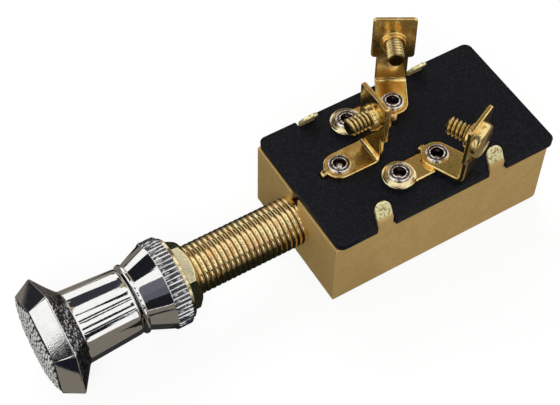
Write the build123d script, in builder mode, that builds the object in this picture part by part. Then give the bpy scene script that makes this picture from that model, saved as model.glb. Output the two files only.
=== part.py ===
from build123d import *
import os
from math import atan2, cos, degrees, hypot, radians, sin

# Push-pull panel switch: a folded brass case closed by a black terminal board,
# a threaded stem that guides the plunger rod, and a hexagonal knob.
# Millimetres. Origin on the stem axis at the outer face of the case's front
# wall, +Z out of the terminal board, the knob towards -Y.

os.makedirs("parts", exist_ok=True)

# Case and board
sheet_t = 0.7
case_w = 27.3
case_len = 47.7
case_floor_z = -10.15
case_rear_r = 1.3
case_foot_r = 1.1
seam_w = 2.2
seam_x = -0.6
board_under_z = 6.55
board_t = 1.6
board_overhang = 0.5
board_front_y = 0.3
board_corner_r = 1.5

# Four tabs of the case, folded over the board
lock_tab_w = 3.3
lock_tab_len = 3.7
lock_tab_rise_deg = 60
lock_tab_ys = (10.5, 35.0)
lock_tab_fold_r = 0.7

# Threaded stem, 3/8 inch
stem_r = 9.525 / 2
stem_bore_r = 3.22
stem_end_y = -33.8
stem_chamfer = 0.5
wall_neck_r = 4.2
flange_r = 6.1
flange_t = 1.6
rib_pitch = 25.4 / 24
rib_depth = 0.4
rib_gap_half = 0.48
rib_start_y = -1.0
rib_end_y = -22.2

# Panel hardware on the stem
nut_flats = 12.0
nut_t = 2.4
nut_chamfer = 1.0
nut_turn_deg = 43
washer_r = 7.8
washer_t = 0.8
hardware_bore_r = stem_r + 0.04
face_nut_rear_y = -25.9
face_nut_front_y = -34.4
rim_r = 8.5
rim_len = 3.1
rim_bevel = 0.25
flare_r = 8.2
lip_r = 6.7
lip_len = 0.7
knurl_teeth = 60
knurl_groove = 0.5

# Knob
knob_gap = 0.35
neck_rear_r = 6.35
neck_front_r = 6.95
neck_front_y = -45.6
head_wide_y = -48.7
head_front_y = -52.5
head_wide_r = 11.4
head_front_r = 9.3
head_dome = 0.5
head_turn_deg = 36
head_corner_r = 0.7
knob_bore_end_y = -47.4

# Plunger rod and its retaining ring
rod_r = 3.175
rod_front_y = -47.1
rod_tail_r = 2.4
rod_tail_end_y = 24.6
ring_groove_y = 22.15
ring_groove_w = 0.8
ring_groove_r = 1.8
ring_r = 3.6
ring_t = 0.65

# Terminals: stamped from one strip and folded, each a little differently
strap_t = 0.9
strap_half = 3.0
head_half = 4.1
tab_height = 14.25
shoulder_height = 5.3
screw_height = 8.9
fold_r = 1.2
prong_half = 0.65
prong_at = 3.5
prong_depth = 1.0
link_t = 0.8
link_w = 5.0
# name: rivet x, rivet y, foot direction, reach to the tab, lean, turn in its plane, lift
terminals = {
    "common": (-0.9, 9.85, 90, 6.75, 0.5, -3.5, 0.0),
    "left": (-7.85, 26.1, 150, 5.55, 9, 0.5, link_t),
    "right": (6.65, 26.15, 26, 6.1, 1, -2.6, link_t),
}
# name: far contact, near contact under the terminal
links = {
    "left": ((-8.6, 16.4), (-7.85, 26.1)),
    "right": ((6.75, 17.8), (6.65, 26.15)),
}

# Rivets and terminal screws
rivet_shank_r = 1.5
rivet_hole_r = 1.55
rivet_head_r = 2.4
rivet_head_t = 0.8
rivet_flange_r = 2.2
rivet_flange_t = 0.6
rivet_bore_r = 1.15
link_washer_r = 3.25
link_washer_t = 0.8
screw_r = 1.7
screw_hole_r = 1.74
screw_reach = 5.3
screw_head_r = 3.4
screw_head_t = 1.5
screw_slot_w = 1.1
screw_slot_depth = 0.8
collar_r = 2.35
collar_h = 1.1

# Inside the case. The slider moves 12 mm towards the knob, in two clicks.
liner_t = 0.4
liner_front_y = 3.0
liner_rear_y = 46.3
slider_front_y = 18.0
slider_rear_y = 37.0
slider_half_w = 12.2
slider_floor_z = -7.8
slider_top_z = 3.95
slider_rail_w = 3.5
slider_lip_z = 6.15
bridge_z = 4.25
bridge_t = 0.9
bridge_front_y = 15.2
bridge_bar_y = (24.0, 34.2)
bridge_half_w = 10.6
pad_h = 0.5
spring_x = 7.0
spring_y = 29.5
spring_wire_r = 0.25
spring_coil_r = 2.1
spring_turns = 5
pocket_r = 2.75
pocket_floor_z = -3.4
detent_y = 21.0
detent_step = 6.0
detent_t = 0.3
detent_half_w = 3.0

board_top_z = board_under_z + board_t
inner_floor_z = case_floor_z + sheet_t
inner_half_w = case_w / 2 - sheet_t


def save(part, name):
    part.label = name
    export_step(part, f"parts/{name}.step")


def lathe(outline):
    """Turned piece: (radius, y) points spun about the stem axis."""
    with BuildSketch(Plane.XY) as half:
        with BuildLine():
            Polyline(*outline, close=True)
        make_face()
    revolve(half.sketch, axis=Axis.Y)


def rod_hole(radius, y_from, y_to):
    with BuildSketch(Plane.XZ.offset(-y_from)) as mouth:
        Circle(radius)
    extrude(mouth.sketch, amount=y_from - y_to, mode=Mode.SUBTRACT)


# The case is one folded sheet: floor and four walls, a seam down the front wall
# where its two flaps trap the stem, and four tabs folded over the board.
with BuildPart() as case:
    for inset, cut in ((0, Mode.ADD), (sheet_t, Mode.SUBTRACT)):
        with BuildPart(mode=Mode.PRIVATE) as block:
            with BuildSketch(Plane.XY.offset(case_floor_z + inset)) as floor:
                with Locations((0, case_len / 2)):
                    Rectangle(case_w - 2 * inset, case_len - 2 * inset)
                fillet(floor.vertices().group_by(Axis.Y)[-1], case_rear_r - inset)
            extrude(amount=board_under_z - case_floor_z)
            fillet(block.faces().sort_by(Axis.Z)[0].edges(), case_foot_r - inset)
        add(block.part, mode=cut)
    seam_foot_z = case_floor_z + case_foot_r
    with BuildSketch(Plane.XZ.offset(1)):
        Circle(wall_neck_r + 0.05)
        with Locations((seam_x, (board_under_z + seam_foot_z) / 2)):
            Rectangle(seam_w, board_under_z - seam_foot_z)
    extrude(amount=-1 - sheet_t - 0.2, mode=Mode.SUBTRACT)
    for side in (1, -1):
        wall_x = side * (case_w - sheet_t) / 2
        fold_z = board_top_z + 0.3
        tip_x = wall_x - side * lock_tab_len * cos(radians(lock_tab_rise_deg))
        tip_z = fold_z + lock_tab_len * sin(radians(lock_tab_rise_deg))
        for tab_y in lock_tab_ys:
            with BuildSketch(Plane.XZ.offset(-tab_y)):
                with BuildLine():
                    FilletPolyline(
                        (wall_x, board_under_z - 1), (wall_x, fold_z), (tip_x, tip_z), radius=lock_tab_fold_r
                    )
                trace(line_width=sheet_t)
            extrude(amount=lock_tab_w / 2, both=True)
    tongue_ends = case.edges().filter_by(
        lambda edge: abs(edge.length - sheet_t) < 0.01 and edge.center().Z > board_top_z + 2
    )
    fillet(tongue_ends, lock_tab_w / 2 - 0.1)
save(case.part, "case")

# Fibre liner, a channel that keeps the slider off the metal case. The detent
# spring lies in the window in its floor.
detent_end_y = 9.1
with BuildPart() as insulating_liner:
    liner_top_z = board_under_z - 0.4
    liner_mid_z = (liner_top_z + inner_floor_z) / 2
    with BuildSketch(Plane.XZ.offset(-liner_front_y)):
        with Locations((0, liner_mid_z)):
            Rectangle(2 * inner_half_w, liner_top_z - inner_floor_z)
        with Locations((0, liner_mid_z + liner_t)):
            Rectangle(2 * (inner_half_w - liner_t), liner_top_z - inner_floor_z, mode=Mode.SUBTRACT)
    extrude(amount=liner_front_y - liner_rear_y)
    outer_corners = insulating_liner.edges().filter_by(Axis.Y).group_by(Axis.Z)[0]
    fillet(outer_corners, case_foot_r - sheet_t)
    with BuildSketch(Plane.XY.offset(inner_floor_z)):
        with Locations((0, detent_y)):
            Rectangle(2 * detent_half_w + 0.2, 2 * (detent_end_y + 0.1))
    extrude(amount=1, mode=Mode.SUBTRACT)
save(insulating_liner.part, "insulating_liner")


def seat_plane(name):
    """Plane under a terminal's foot: X along the foot, Z out of the board."""
    x, y, heading, reach, lean, turn, lift = terminals[name]
    along = (cos(radians(heading)), sin(radians(heading)), 0)
    return Plane(origin=(x, y, board_top_z + lift), x_dir=along, z_dir=(0, 0, 1))


def tab_plane(name):
    """Plane of a tab's inner face: Y up the tab, Z out towards the screw head."""
    x, y, heading, reach, lean, turn, lift = terminals[name]
    seat = seat_plane(name)
    base = seat.from_local_coords((reach, 0, strap_t))
    outward = seat.x_dir * cos(radians(lean)) - seat.z_dir * sin(radians(lean))
    upward = seat.x_dir * sin(radians(lean)) + seat.z_dir * cos(radians(lean))
    across = seat.y_dir * cos(radians(turn)) + upward * sin(radians(turn))
    return Plane(origin=base, x_dir=across, z_dir=outward)


# Terminal board: laminated sheet, notched for the tabs and pierced for the
# rivets and for the terminals' locating prongs.
rivet_places = [spot[:2] for spot in terminals.values()] + [link[0] for link in links.values()]
with BuildPart() as terminal_board:
    board_rear_y = case_len + board_overhang
    with BuildSketch(Plane.XY.offset(board_under_z)):
        with Locations((0, (board_front_y + board_rear_y) / 2)):
            RectangleRounded(
                case_w + 2 * board_overhang, board_rear_y - board_front_y, board_corner_r
            )
        notch_depth = sheet_t + board_overhang + 0.1
        notch_x = case_w / 2 + board_overhang - notch_depth / 2
        with Locations(*[(side * notch_x, y) for side in (1, -1) for y in lock_tab_ys]):
            Rectangle(notch_depth, lock_tab_w + 0.5, mode=Mode.SUBTRACT)
        with Locations(*rivet_places):
            Circle(rivet_hole_r, mode=Mode.SUBTRACT)
    extrude(amount=board_t)
    for name in terminals:
        seat = seat_plane(name)
        with BuildSketch(Plane(origin=(seat.origin.X, seat.origin.Y, board_top_z), x_dir=seat.x_dir)):
            with Locations((-prong_at, 0)):
                Rectangle(strap_t + 0.15, 2 * prong_half + 0.15)
        extrude(amount=-prong_depth - 0.1, mode=Mode.SUBTRACT)
    chamfer(terminal_board.faces().sort_by(Axis.Z)[-1].outer_wire().edges(), 0.12)
save(terminal_board.part, "terminal_board")

# Link strips join two contacts of one circuit, with a washer on the far rivet
for name, (far, near) in links.items():
    span = hypot(near[0] - far[0], near[1] - far[1])
    heading = degrees(atan2(near[1] - far[1], near[0] - far[0]))
    middle = ((far[0] + near[0]) / 2, (far[1] + near[1]) / 2)
    with BuildPart() as link_strip:
        with BuildSketch(Plane.XY.offset(board_top_z)):
            with Locations(middle):
                SlotCenterToCenter(span, link_w, rotation=heading)
            with Locations(far, near):
                Circle(rivet_hole_r, mode=Mode.SUBTRACT)
        extrude(amount=link_t)
        chamfer(link_strip.faces().sort_by(Axis.Z)[-1].outer_wire().edges(), 0.1)
    save(link_strip.part, f"link_strip_{name}")

    with BuildPart() as link_washer:
        with BuildSketch(Plane.XY.offset(board_top_z + link_t)):
            with Locations(far):
                Circle(link_washer_r)
                Circle(rivet_hole_r, mode=Mode.SUBTRACT)
        extrude(amount=link_washer_t)
        fillet(link_washer.faces().sort_by(Axis.Z)[-1].outer_wire().edges(), 0.25)
    save(link_washer.part, f"link_washer_{name}")


def make_rivet(place, clamp_top_z):
    """Semi-tubular rivet: contact head under the board, rolled flange on top."""
    stand = Plane(origin=(place[0], place[1], 0), x_dir=(1, 0, 0), z_dir=(0, -1, 0))
    with BuildPart() as rivet:
        with BuildSketch(stand):
            with BuildLine():
                Polyline(
                    (rivet_bore_r, clamp_top_z + 0.35),
                    (rivet_bore_r, board_top_z),
                    (0, board_top_z),
                    (0, board_under_z - rivet_head_t),
                    (rivet_head_r, board_under_z - rivet_head_t),
                    (rivet_head_r, board_under_z),
                    (rivet_shank_r, board_under_z),
                    (rivet_shank_r, clamp_top_z),
                    (rivet_flange_r, clamp_top_z),
                    (rivet_flange_r, clamp_top_z + 0.2),
                )
                ThreePointArc(
                    (rivet_flange_r, clamp_top_z + 0.2),
                    ((rivet_flange_r + rivet_bore_r) / 2, clamp_top_z + rivet_flange_t),
                    (rivet_bore_r, clamp_top_z + 0.35),
                )
            make_face()
        revolve(axis=Axis((place[0], place[1], 0), (0, 0, 1)))
    return rivet.part


for name, (x, y, heading, reach, lean, turn, lift) in terminals.items():
    save(make_rivet((x, y), board_top_z + lift + strap_t), f"rivet_{name}")
for name, (far, near) in links.items():
    save(make_rivet(far, board_top_z + link_t + link_washer_t), f"link_rivet_{name}")


def make_terminal(name):
    """Stamped strip: a foot with a prong, a fold and a tab with a wider head."""
    x, y, heading, reach, lean, turn, lift = terminals[name]
    seat = seat_plane(name)
    face = tab_plane(name)
    side_view = Plane(origin=seat.origin, x_dir=seat.x_dir, z_dir=-seat.y_dir)
    lean_sin = sin(radians(lean))
    lean_cos = cos(radians(lean))
    mid = strap_t / 2
    corner_x = reach + mid * lean_cos - mid * (1 - lean_sin) / lean_cos * lean_sin
    top = (reach + mid * lean_cos + tab_height * lean_sin, strap_t - mid * lean_sin + tab_height * lean_cos)
    fold_start = reach - fold_r
    with BuildPart() as terminal:
        # fold and tab, bent from wide strip and then trimmed to the stamped outline
        with BuildSketch(side_view):
            with BuildLine():
                FilletPolyline((fold_start, mid), (corner_x, mid), top, radius=fold_r)
            trace(line_width=strap_t)
        extrude(amount=head_half + 1, both=True)
        with BuildSketch(face) as outline:
            with Locations((0, shoulder_height / 2 - 2)):
                Rectangle(2 * strap_half, shoulder_height + 4)
            with Locations((0, (tab_height + shoulder_height) / 2)):
                Rectangle(2 * head_half, tab_height - shoulder_height)
            corners = outline.vertices().filter_by(lambda v: abs(face.to_local_coords(v).X) > head_half - 0.1)
            fillet(corners, 0.7)
        extrude(amount=4, both=True, mode=Mode.INTERSECT)
        # foot round the rivet
        with BuildSketch(seat):
            Circle(strap_half)
            with Locations((fold_start / 2, 0)):
                Rectangle(fold_start, 2 * strap_half)
        extrude(amount=strap_t)
        # prong bent down into the board, so that the terminal can't turn
        with BuildSketch(side_view):
            with BuildLine():
                FilletPolyline(
                    (-prong_at, -lift - prong_depth), (-prong_at, mid), (-strap_half + 1, mid), radius=0.6
                )
            trace(line_width=strap_t)
        extrude(amount=prong_half, both=True)
        # collar drawn out of the tab for the screw's thread
        with BuildSketch(face):
            with Locations((0, screw_height)):
                Circle(collar_r)
        extrude(amount=-collar_h)
        with BuildSketch(face):
            with Locations((0, screw_height)):
                Circle(screw_hole_r)
        extrude(amount=3, both=True, mode=Mode.SUBTRACT)
        with BuildSketch(seat):
            Circle(rivet_hole_r)
        extrude(amount=strap_t, mode=Mode.SUBTRACT)
    return terminal.part


def make_screw(name):
    """Binding-head screw, put in from the outside of the tab."""
    face = tab_plane(name)
    outer_face = face.offset(strap_t)
    with BuildPart() as screw:
        with BuildSketch(outer_face):
            with Locations((0, screw_height)):
                Circle(screw_head_r)
        extrude(amount=screw_head_t)
        rim = screw.edges().sort_by(Axis(outer_face.origin, outer_face.z_dir))[-1]
        fillet(rim, 0.6)
        with BuildSketch(outer_face.offset(screw_head_t)):
            with Locations((0, screw_height)):
                Rectangle(screw_slot_w, 3 * screw_head_r, rotation=70)
        extrude(amount=-screw_slot_depth, mode=Mode.SUBTRACT)
        with BuildSketch(outer_face):
            with Locations((0, screw_height)):
                Circle(screw_r)
        extrude(amount=-strap_t - screw_reach)
        point = screw.edges().sort_by(Axis(outer_face.origin, outer_face.z_dir))[0]
        chamfer(point, 0.35)
    return screw.part


for name in terminals:
    save(make_terminal(name), f"terminal_{name}")
    save(make_screw(name), f"terminal_screw_{name}")

# Stem: turned brass, flanged inside the case and necked where the wall grips it.
# Between the nut and the case a ring stands for each turn of its thread.
rib_count = int((rib_start_y - rib_end_y) / rib_pitch)
ribs = []
for turn in range(rib_count):
    groove_y = rib_start_y - (rib_count - turn) * rib_pitch
    ribs += [
        (stem_r, groove_y - rib_gap_half),
        (stem_r - rib_depth, groove_y),
        (stem_r, groove_y + rib_gap_half),
    ]
with BuildPart() as threaded_stem:
    lathe([
        (stem_bore_r, stem_end_y),
        (stem_r - stem_chamfer, stem_end_y),
        (stem_r, stem_end_y + stem_chamfer),
        *ribs,
        (stem_r, 0),
        (wall_neck_r, 0),
        (wall_neck_r, sheet_t),
        (flange_r, sheet_t),
        (flange_r, sheet_t + flange_t),
        (stem_bore_r, sheet_t + flange_t),
    ])
save(threaded_stem.part, "threaded_stem")

# Thin panel nut, chamfered on the side away from the panel
nut_front_y = face_nut_rear_y + washer_t
nut_rear_y = nut_front_y + nut_t
nut_corner_r = nut_flats / 2 / cos(radians(30))
with BuildPart() as hex_nut:
    with BuildSketch(Plane.XZ.offset(-nut_rear_y)):
        RegularPolygon(nut_flats / 2, 6, major_radius=False, rotation=nut_turn_deg)
    extrude(amount=nut_t)
    with BuildSketch(Plane.XY):
        with BuildLine():
            Polyline(
                (0, nut_rear_y),
                (nut_flats / 2 - 0.2, nut_rear_y),
                (nut_corner_r, nut_rear_y - nut_chamfer),
                (nut_corner_r, nut_front_y + 0.2),
                (nut_corner_r - 0.4, nut_front_y),
                (0, nut_front_y),
                close=True,
            )
        make_face()
    revolve(axis=Axis.Y, mode=Mode.INTERSECT)
    rod_hole(hardware_bore_r, nut_front_y, nut_rear_y)
save(hex_nut.part, "hex_nut")

with BuildPart() as panel_washer:
    lathe([
        (hardware_bore_r, face_nut_rear_y),
        (washer_r - 0.15, face_nut_rear_y),
        (washer_r, face_nut_rear_y + 0.15),
        (washer_r, nut_front_y - 0.15),
        (washer_r - 0.15, nut_front_y),
        (hardware_bore_r, nut_front_y),
    ])
save(panel_washer.part, "panel_washer")

# Face nut: knurled rim against the panel, then a straight cone and a thin lip
rim_front_y = face_nut_rear_y - rim_len
lip_rear_y = face_nut_front_y + lip_len
with BuildPart() as face_nut:
    with BuildSketch(Plane.XY):
        with BuildLine():
            Polyline(
                (lip_r - 0.4, lip_rear_y + 0.15),
                (lip_r, lip_rear_y),
                (lip_r, face_nut_front_y + 0.25),
                (lip_r - 0.25, face_nut_front_y),
                (hardware_bore_r, face_nut_front_y),
                (hardware_bore_r, face_nut_rear_y),
                (rim_r - rim_bevel, face_nut_rear_y),
                (rim_r, face_nut_rear_y - rim_bevel),
                (rim_r, rim_front_y + rim_bevel),
                (rim_r - rim_bevel, rim_front_y),
                (flare_r, rim_front_y - 0.05),
            )
            Line((flare_r, rim_front_y - 0.05), (lip_r - 0.4, lip_rear_y + 0.15))
        make_face()
    revolve(axis=Axis.Y)
    with BuildSketch(Plane.XZ.offset(-face_nut_rear_y)):
        with PolarLocations(rim_r, knurl_teeth):
            Rectangle(knurl_groove, knurl_groove, rotation=45)
    extrude(amount=rim_len, mode=Mode.SUBTRACT)
save(face_nut.part, "face_nut")


def hexagon(radius, corner_r):
    """Rounded hexagon of the knob, by its corner radius."""
    with BuildSketch(Plane.XY) as shape:
        RegularPolygon(radius, 6, rotation=head_turn_deg)
        fillet(shape.vertices(), corner_r)
    return shape.sketch


# Knob: die-cast in one, a tapered neck and a hexagonal head with a domed front
neck_rear_y = face_nut_front_y - knob_gap
head_slope_deg = degrees(
    atan2((head_wide_r - head_front_r) * cos(radians(30)), head_wide_y - head_front_y)
)
dome_r = (head_front_r**2 + head_dome**2) / (2 * head_dome)
with BuildPart() as knob:
    lathe([
        (0, neck_rear_y),
        (neck_rear_r - 0.25, neck_rear_y),
        (neck_rear_r, neck_rear_y - 0.25),
        (neck_front_r, neck_front_y),
        (0, neck_front_y),
    ])
    with BuildSketch(Plane.XZ.offset(-neck_front_y)):
        Circle(neck_front_r)
    with BuildSketch(Plane.XZ.offset(-head_wide_y)):
        add(hexagon(head_wide_r, head_corner_r))
    loft()
    with BuildSketch(Plane.XZ.offset(-head_wide_y)):
        add(hexagon(head_wide_r, head_corner_r))
    extrude(amount=head_wide_y - head_front_y + head_dome + 0.1, taper=head_slope_deg)
    with Locations((0, head_front_y - head_dome + dome_r, 0)):
        Sphere(dome_r, mode=Mode.INTERSECT)
    rod_hole(rod_r + 0.02, knob_bore_end_y, neck_rear_y)
save(knob.part, "knob")

# Plunger rod, shouldered against the slider and grooved for its ring
with BuildPart() as plunger_rod:
    lathe([
        (0, rod_front_y),
        (rod_r - 0.3, rod_front_y),
        (rod_r, rod_front_y + 0.3),
        (rod_r, slider_front_y),
        (rod_tail_r, slider_front_y),
        (rod_tail_r, ring_groove_y),
        (ring_groove_r, ring_groove_y),
        (ring_groove_r, ring_groove_y + ring_groove_w),
        (rod_tail_r, ring_groove_y + ring_groove_w),
        (rod_tail_r, rod_tail_end_y - 0.4),
        (rod_tail_r - 0.4, rod_tail_end_y),
        (0, rod_tail_end_y),
    ])
save(plunger_rod.part, "plunger_rod")

with BuildPart() as retaining_ring:
    with BuildSketch(Plane.XZ.offset(-(ring_groove_y + 0.08))):
        Circle(ring_r)
        Circle(ring_groove_r + 0.03, mode=Mode.SUBTRACT)
        with Locations((0, -ring_r)):
            Rectangle(2 * ring_groove_r - 0.6, 2 * ring_r, mode=Mode.SUBTRACT)
    extrude(amount=-ring_t)
save(retaining_ring.part, "retaining_ring")

# Slider: moulded block on two rails, with pockets for the contact springs, a
# chamber for the ring and three grooves underneath for the detent
ring_wall_y = ring_groove_y - 0.05
slider_mid_y = (slider_front_y + slider_rear_y) / 2
slider_len = slider_rear_y - slider_front_y
rail_x = slider_half_w - slider_rail_w / 2
rail_foot_z = inner_floor_z + liner_t + 0.2
groove_half = 1.45
groove_depth = 0.8
with BuildPart() as slider:
    with BuildSketch(Plane.XY.offset(slider_floor_z)):
        with Locations((0, slider_mid_y)):
            Rectangle(2 * slider_half_w, slider_len)
    extrude(amount=slider_top_z - slider_floor_z)
    with BuildSketch(Plane.XY.offset(rail_foot_z)):
        with Locations((rail_x, slider_mid_y), (-rail_x, slider_mid_y)):
            Rectangle(slider_rail_w, slider_len)
    extrude(amount=slider_floor_z - rail_foot_z)
    lip_x = slider_half_w - 0.6
    with BuildSketch(Plane.XY.offset(slider_top_z)):
        with Locations((lip_x, slider_mid_y), (-lip_x, slider_mid_y)):
            Rectangle(1.2, slider_len)
    extrude(amount=slider_lip_z - slider_top_z)
    with BuildSketch(Plane.XY.offset(pocket_floor_z)):
        with Locations((spring_x, spring_y), (-spring_x, spring_y)):
            Circle(pocket_r)
    extrude(amount=slider_top_z - pocket_floor_z, mode=Mode.SUBTRACT)
    chamber_rear_y = 25.8
    chamber_floor_z = -3.7
    with BuildSketch(Plane.XY.offset(chamber_floor_z)):
        with Locations((0, (ring_wall_y + chamber_rear_y) / 2)):
            Rectangle(2 * ring_r + 0.4, chamber_rear_y - ring_wall_y)
    extrude(amount=slider_top_z - chamber_floor_z, mode=Mode.SUBTRACT)
    rod_hole(rod_tail_r + 0.04, slider_front_y, ring_wall_y)
    for step in range(3):
        groove_y = detent_y + step * detent_step
        with BuildSketch(Plane.YZ.offset(-4)):
            with BuildLine():
                Polyline(
                    (groove_y - groove_half, slider_floor_z),
                    (groove_y, slider_floor_z + groove_depth),
                    (groove_y + groove_half, slider_floor_z),
                    close=True,
                )
            make_face()
        extrude(amount=8, mode=Mode.SUBTRACT)
save(slider.part, "slider")

# Bridge contact: a brass T with three raised pads that slide under the rivets
pads = {
    # name: x, front y, rear y
    "common": (-0.9, 15.8, 22.2),
    "left": (-8.2, 25.0, 28.8),
    "right": (6.7, 30.2, 33.8),
}
pad_w = 2.4
with BuildPart() as bridge_contact:
    bar_front, bar_rear = bridge_bar_y
    with BuildSketch(Plane.XY.offset(bridge_z)) as tee:
        with Locations((0, (bar_front + bar_rear) / 2)):
            Rectangle(2 * bridge_half_w, bar_rear - bar_front)
        with Locations((pads["common"][0], (bridge_front_y + bar_front) / 2)):
            Rectangle(4.4, bar_front - bridge_front_y)
        fillet(tee.vertices(), 0.8)
    extrude(amount=bridge_t)
    for x, front, rear in pads.values():
        with BuildSketch(Plane.XY.offset(bridge_z + bridge_t)):
            with Locations((x, (front + rear) / 2)):
                Rectangle(pad_w, rear - front)
        extrude(amount=pad_h, taper=25)
save(bridge_contact.part, "bridge_contact")

# Coil springs that press the bridge up against the rivets
for name, x in (("left", -spring_x), ("right", spring_x)):
    coil_floor_z = pocket_floor_z + spring_wire_r + 0.02
    coil_top_z = bridge_z - spring_wire_r - 0.02
    with BuildPart() as contact_spring:
        with BuildLine() as coil:
            Helix(
                (coil_top_z - coil_floor_z) / spring_turns,
                coil_top_z - coil_floor_z,
                spring_coil_r,
                center=(x, spring_y, coil_floor_z),
            )
        with BuildSketch(Plane(origin=coil.line @ 0, z_dir=coil.line % 0)):
            RegularPolygon(spring_wire_r, 6)
        sweep(path=coil.line, is_frenet=True)
    save(contact_spring.part, f"contact_spring_{name}")

# Detent spring: a strip arched into the slider's groove
flat_z = inner_floor_z + detent_t / 2 + 0.01
with BuildPart() as detent_spring:
    with BuildSketch(Plane.YZ.offset(-detent_half_w)):
        with BuildLine():
            FilletPolyline(
                (detent_y - detent_end_y, flat_z),
                (detent_y - 6.0, flat_z),
                (detent_y - 1.8, flat_z + 0.9),
                (detent_y, flat_z + 1.95),
                (detent_y + 1.8, flat_z + 0.9),
                (detent_y + 6.0, flat_z),
                (detent_y + detent_end_y, flat_z),
                radius=0.6,
            )
        trace(line_width=detent_t)
    extrude(amount=2 * detent_half_w)
save(detent_spring.part, "detent_spring")
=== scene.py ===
from math import atan2, cos, pi, radians, sin, tau
from random import Random

import bmesh
import bpy
from mathutils import Matrix, Vector


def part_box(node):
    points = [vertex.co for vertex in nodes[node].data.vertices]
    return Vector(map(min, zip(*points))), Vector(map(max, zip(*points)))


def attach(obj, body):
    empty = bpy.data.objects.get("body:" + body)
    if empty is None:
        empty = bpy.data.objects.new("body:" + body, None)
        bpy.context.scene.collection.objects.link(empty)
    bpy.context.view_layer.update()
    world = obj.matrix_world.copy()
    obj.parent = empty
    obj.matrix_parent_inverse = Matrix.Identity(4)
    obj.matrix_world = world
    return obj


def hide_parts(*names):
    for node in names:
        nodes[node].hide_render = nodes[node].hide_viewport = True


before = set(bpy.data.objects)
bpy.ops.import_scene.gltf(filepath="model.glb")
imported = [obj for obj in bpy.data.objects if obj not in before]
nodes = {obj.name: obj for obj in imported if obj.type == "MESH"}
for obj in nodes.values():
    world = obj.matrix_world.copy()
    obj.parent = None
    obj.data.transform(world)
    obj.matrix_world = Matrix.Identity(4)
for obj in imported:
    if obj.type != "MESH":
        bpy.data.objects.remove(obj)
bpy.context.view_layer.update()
mm = 0.001


# Case
# One piece of rolled sheet brass, folded into a box and dulled by handling. Its
# two front flaps meet round the stem, and four tabs hold the board down.
def add_node(tree, kind, inputs=None, **settings):
    """A shader node; inputs gives each socket a value or another node's output."""
    made = tree.nodes.new(kind)
    for name, value in settings.items():
        setattr(made, name, value)
    for socket, value in (inputs or {}).items():
        if isinstance(value, bpy.types.NodeSocket):
            tree.links.new(value, made.inputs[socket])
        else:
            made.inputs[socket].default_value = value
    return made


def make_group(name, inputs, outputs):
    """An empty shader node group with its entry and exit."""
    group = bpy.data.node_groups.new(name, "ShaderNodeTree")
    for label, kind, value in inputs:
        socket = group.interface.new_socket(name=label, in_out="INPUT", socket_type=kind)
        socket.default_value = value
    for label, kind in outputs:
        group.interface.new_socket(name=label, in_out="OUTPUT", socket_type=kind)
    entry = group.nodes.new("NodeGroupInput").outputs
    exit_sockets = group.nodes.new("NodeGroupOutput").inputs
    return group, entry, exit_sockets


def make_metal_skin():
    """Tarnish in soft blotches over bright metal, with a fine grain on top."""
    group, entry, leave = make_group(
        "metal_skin",
        [
            ("Clean", "NodeSocketColor", (0.8, 0.6, 0.3, 1)),
            ("Tarnished", "NodeSocketColor", (0.4, 0.25, 0.1, 1)),
            ("Tarnish", "NodeSocketFloat", 0.5),
            ("Blotch Scale", "NodeSocketFloat", 300.0),
            ("Grain Scale", "NodeSocketFloat", 5000.0),
            ("Grain", "NodeSocketFloat", 0.1),
            ("Roughness", "NodeSocketFloat", 0.3),
        ],
        [("Color", "NodeSocketColor"), ("Roughness", "NodeSocketFloat"), ("Height", "NodeSocketFloat")],
    )
    place = add_node(group, "ShaderNodeTexCoord").outputs["Object"]
    blotches = add_node(
        group, "ShaderNodeTexNoise", {"Vector": place, "Scale": entry["Blotch Scale"], "Detail": 4.0}
    ).outputs["Fac"]
    grain = add_node(
        group, "ShaderNodeTexNoise", {"Vector": place, "Scale": entry["Grain Scale"], "Detail": 2.0}
    ).outputs["Fac"]
    patch = add_node(
        group, "ShaderNodeMapRange", {"Value": blotches, "From Min": 0.38, "From Max": 0.66}
    ).outputs["Result"]
    share = add_node(
        group, "ShaderNodeMath", {0: patch, 1: entry["Tarnish"]}, operation="MULTIPLY"
    ).outputs[0]
    tint = add_node(
        group,
        "ShaderNodeMix",
        {"Factor": share, "A": entry["Clean"], "B": entry["Tarnished"]},
        data_type="RGBA",
    ).outputs["Result"]
    speck = add_node(
        group,
        "ShaderNodeMapRange",
        {"Value": grain, "From Min": 0.3, "From Max": 0.7, "To Min": -1.0, "To Max": 1.0},
    ).outputs["Result"]
    shade = add_node(
        group, "ShaderNodeMath", {0: speck, 1: entry["Grain"], 2: 1.0}, operation="MULTIPLY_ADD"
    ).outputs[0]
    grained = add_node(
        group, "ShaderNodeVectorMath", {0: tint, 3: shade}, operation="SCALE"
    ).outputs[0]
    rough = add_node(
        group, "ShaderNodeMath", {0: share, 1: 0.14, 2: entry["Roughness"]}, operation="MULTIPLY_ADD"
    ).outputs[0]
    for label, socket in (("Color", grained), ("Roughness", rough), ("Height", grain)):
        group.links.new(socket, leave[label])
    return group


metal_skin = make_metal_skin()


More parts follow.
